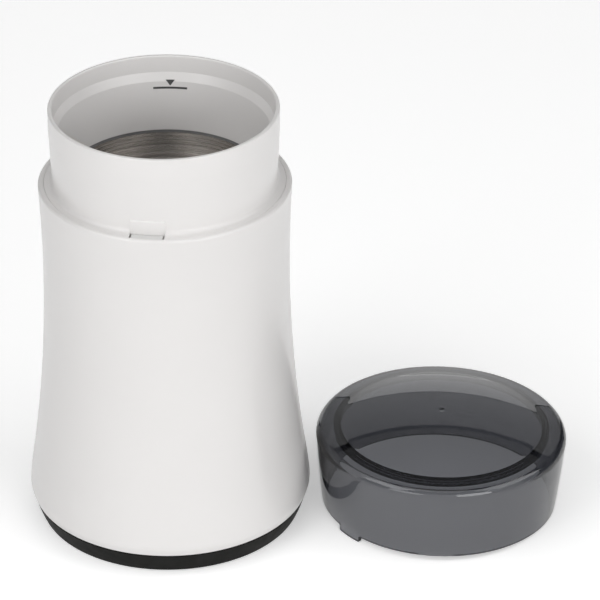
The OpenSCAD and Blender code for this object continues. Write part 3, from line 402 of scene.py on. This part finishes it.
# ------------------------------------------------------------------ foot of the body
# rows down the outer side, in mm: height in the CAD, height here, radius here
SHELL_FOOT = ((7.6, 7.85, 49.05), (7.66, 7.88, 49.32), (7.84, 8.05, 49.5), (8.14, 8.4, 49.68),
              (8.53, 8.85, 49.88), (8.99, 9.35, 50.06), (9.52, 9.9, 50.22), (10.08, 10.45, 50.33),
              (10.64, 11.0, 50.39), (11.64, 11.9, 50.38), (13.9, 13.95, 50.2),
              (16.18, 16.18, 49.95), (20.72, 20.72, 49.32))
RING_SIDE = ((0.0, 0.0, 46.05), (0.03, 0.03, 46.27), (0.12, 0.12, 46.45), (0.25, 0.25, 46.6),
             (0.43, 0.43, 46.72), (0.63, 0.63, 46.83), (2.86, 2.86, 47.8), (5.08, 5.08, 48.6),
             (7.3, 7.4, 49.35), (7.6, 7.7, 49.1))
ABOVE = 0.005                                 # a point this little above the table is in it, mm
FOOT_TOP, FOOT_BOUND = 11.2, 48.35            # the shell's lower rounding ends here
BODY_FROM, BODY_BOUND, BODY_SLOPE = 12, 49.7, 0.16    # above it the bound leans in with height
HEEL_TOP, HEEL_BOUND, BAND_BOUND = 2, 45.7, 46.9      # the ring below and above its heel


def shell_bound(height):
    """Radius between the shell's inner and outer side, in mm."""
    return FOOT_BOUND if height < FOOT_TOP else BODY_BOUND - BODY_SLOPE * (height - BODY_FROM)


def ring_bound(height):
    """Radius between the ring's inner and outer side, in mm."""
    return HEEL_BOUND if height < HEEL_TOP else BAND_BOUND


def along(table, height, column):
    """Value of a column of a table at a height in mm, straight between its rows."""
    for low, high in zip(table, table[1:]):
        if height <= high[0]:
            part = max(0.0, (height - low[0]) / (high[0] - low[0]))
            return low[column] + (high[column] - low[column]) * part
    return table[-1][column]


def reshaped(name, node, table, bound):
    """A copy of a node whose outer side follows a table; points inside the bound stay."""
    mesh = NODES[node].data.copy()
    mesh.name = name
    if "custom_normal" in mesh.attributes:
        mesh.attributes.remove(mesh.attributes["custom_normal"])
    for v in mesh.vertices:
        radius, height = 1000 * math.hypot(v.co.x, v.co.y), 1000 * v.co.z
        if height > table[-1][0] + ABOVE or radius < bound(height):
            continue
        scale = along(table, height, 2) / radius
        v.co = (v.co.x * scale, v.co.y * scale, along(table, height, 1) / 1000)
    smooth(mesh)
    return stand(name, mesh)


shell_skin = reshaped("shell_skin", "outer_shell", SHELL_FOOT, shell_bound)
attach(shell_skin, "housing")
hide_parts("outer_shell")

foot_band = reshaped("foot_band", "foot_ring", RING_SIDE, ring_bound)
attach(foot_band, "housing")
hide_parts("foot_ring")


# ------------------------------------------------------------------ spring under the plunger
def plunger_coil():
    """A copy of the CAD's spring under the plunger, in the housing."""
    mesh = NODES["plunger_spring"].data.copy()
    mesh.name = "plunger_coil"
    piece = stand("plunger_coil", mesh)
    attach(piece, "housing")
    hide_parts("plunger_spring")
    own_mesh(piece)


plunger_coil()

# ------------------------------------------------------------------ fill mark
WALL_LOW_R, WALL_LOW_Z = 0.0346, 0.1332    # inner wall of the neck where the steel begins
WALL_HIGH_R, WALL_HIGH_Z = 0.0367, 0.1512  # and where its sloped band begins
LINE_Z, LINE_T, LINE_W = 0.1485, 0.00075, 0.0121
MARK_X = -0.0034                           # the mark's middle, left of the middle of the wall
ARROW_Z, ARROW_H, ARROW_W, ARROW_TIP = LINE_Z + LINE_T + 0.0005, 0.0021, 0.0032, 0.0002
INK_T, INK_COLUMNS = 0.00004, 24           # how far the print stands off the wall


def wall_point(angle, z, proud):
    slope = (WALL_HIGH_R - WALL_LOW_R) / (WALL_HIGH_Z - WALL_LOW_Z)
    r = WALL_LOW_R + (z - WALL_LOW_Z) * slope - proud
    return Vector((r * math.sin(angle), r * math.cos(angle), z))


def fill_mark(name, rows, ink):
    """A thin printed patch on the wall; rows are (height, left arc, right arc)."""
    verts, faces = [], []
    for depth in (0.0, INK_T):
        for z, left, right in rows:
            for i in range(INK_COLUMNS + 1):
                arc_length = left + (right - left) * i / INK_COLUMNS
                verts.append(wall_point(arc_length / WALL_HIGH_R, z, depth))
    step = INK_COLUMNS + 1
    layer = step * len(rows)
    for r in range(len(rows) - 1):
        for i in range(INK_COLUMNS):
            a = r * step + i
            faces.append((a, a + step, a + step + 1, a + 1))
            faces.append(tuple(layer + v for v in (a, a + 1, a + step + 1, a + step)))
    last = len(rows) - 1
    edge = (list(range(step)) + [r * step + INK_COLUMNS for r in range(1, len(rows))]
            + [last * step + i for i in range(INK_COLUMNS - 1, -1, -1)]
            + [r * step for r in range(last - 1, 0, -1)])
    for a, b in zip(edge, edge[1:] + edge[:1]):
        faces.append((a, b, b + layer, a + layer))
    mesh = bpy.data.meshes.new(name)
    mesh.from_pydata(verts, [], faces)
    mesh.validate()
    mesh.materials.append(ink.mat)
    piece = stand(name, mesh)
    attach(piece, "housing")


print_ink = Paint("print_ink", (0.06, 0.06, 0.06), 0.45)
print_ink.tint(print_ink.noise(900, 3), (0.08, 0.08, 0.08)).bump(print_ink.noise(2600, 2), 0.000006)
fill_mark("fill_line", [(z, MARK_X - LINE_W / 2, MARK_X + LINE_W / 2)
                        for z in (LINE_Z, LINE_Z + LINE_T)], print_ink)
fill_mark("fill_arrow", [(ARROW_Z + rise, MARK_X - width / 2, MARK_X + width / 2)
                         for rise, width in ((0, ARROW_TIP), (ARROW_H, ARROW_W))], print_ink)

# ------------------------------------------------------------------ floor, light, camera
CENTRE = Vector((0.045, 0.005, 0.07))      # what the lamps face
FLOOR_HALF, FLOOR_GAP, FLOOR_LIFT = 4.0, 0.0002, 0.4
WORLD_STRENGTH = 0.02
LAMPS = (   # name, azimuth and elevation in degrees, distance, width and height, radiance
    ("left_box", -54, 45, 1.7, (1.3, 0.95), 2.65),
    ("top_box", 7, 74, 1.6, (1.0, 0.9), 0.9),
    ("right_box", 88, 45, 1.7, (1.5, 0.95), 1.95),
    ("front_left", -23, 14, 1.9, (1.0, 0.85), 2.5),
    ("front", 7, 14, 1.9, (1.0, 0.85), 0.8),
    ("front_right", 37, 14, 1.9, (1.0, 0.85), 4.4),
    ("right_low", 67, 14, 1.9, (1.0, 0.85), 0.45),
    ("back_low", 187, 6, 1.9, (1.9, 0.62), 1.0),
    ("back_mid", 187, 27, 1.9, (1.9, 0.76), 0.45),
    ("back_high", 187, 52, 1.7, (1.9, 0.7), 0.2),
)
SENSOR_MM, FOCAL_PX, PICTURE_PX = 36, 4048, 600
CAMERA_PITCH, CAMERA_AZIMUTH, CAMERA_DISTANCE = math.radians(29.95), math.radians(7), 1.429
CAMERA_TARGET, CAMERA_CLIP = Vector((0.04649, 0.00571, 0.08338)), (0.05, 20)


def away(azimuth, elevation):
    """Unit vector out from the object; azimuth runs from the front towards the right."""
    return Vector((math.sin(azimuth) * math.cos(elevation),
                   -math.cos(azimuth) * math.cos(elevation), math.sin(elevation)))


def floor():
    """A pale floor, lit like any surface and lifted to the eye so that it ends in plain white."""
    mesh = bpy.data.meshes.new("floor")
    half = FLOOR_HALF
    mesh.from_pydata([(-half, -half, 0), (half, -half, 0), (half, half, 0), (-half, half, 0)], [],
                     [(0, 1, 2, 3)])
    pale = Paint("floor_pale", (0.93, 0.93, 0.93), 0.85)
    pale.set("Specular IOR Level", 0.0)
    pale.set("Emission Color", (1, 1, 1, 1))
    ray = pale.add("ShaderNodeLightPath").outputs
    mirrored = pale.math("ADD", ray["Is Glossy Ray"], ray["Is Transmission Ray"])
    seen = pale.math("ADD", ray["Is Camera Ray"], mirrored)
    pale.link(pale.math("MULTIPLY", pale.math("MINIMUM", seen, 1.0), FLOOR_LIFT),
              pale.bsdf.inputs["Emission Strength"])
    mesh.materials.append(pale.mat)
    piece = stand("floor", mesh)
    piece.location.z = -FLOOR_GAP


def softbox(name, azimuth, elevation, distance, size, radiance):
    """A lamp of even brightness that faces the object."""
    out = away(math.radians(azimuth), math.radians(elevation))
    light = bpy.data.lights.new(name, "AREA")
    light.shape, light.size, light.size_y = "RECTANGLE", size[0], size[1]
    light.energy = radiance * math.pi * size[0] * size[1]
    lamp = stand(name, light)
    lamp.location = CENTRE + out * distance
    lamp.rotation_mode = "QUATERNION"
    lamp.rotation_quaternion = out.to_track_quat("Z", "Y")
    lamp.visible_camera = False


def world():
    """A dim, even room behind the lamps."""
    scene = bpy.context.scene
    scene.world = bpy.data.worlds.new("studio")
    scene.world.use_nodes = True
    back = scene.world.node_tree.nodes["Background"]
    back.inputs["Color"].default_value = (1, 1, 1, 1)
    back.inputs["Strength"].default_value = WORLD_STRENGTH


def camera():
    """The photograph's view, from a pinhole fitted to its outline."""
    out = away(CAMERA_AZIMUTH, CAMERA_PITCH)
    data = bpy.data.cameras.new("camera")
    data.sensor_width = SENSOR_MM
    data.lens = FOCAL_PX / PICTURE_PX * SENSOR_MM
    data.clip_start, data.clip_end = CAMERA_CLIP
    cam = stand("camera", data)
    cam.location = CAMERA_TARGET + out * CAMERA_DISTANCE
    cam.rotation_mode = "QUATERNION"
    cam.rotation_quaternion = (-out).to_track_quat("-Z", "Y")
    bpy.context.scene.camera = cam


floor()
world()
for lamp_row in LAMPS:
    softbox(*lamp_row)
camera()
bpy.context.scene.view_settings.view_transform = "Standard"
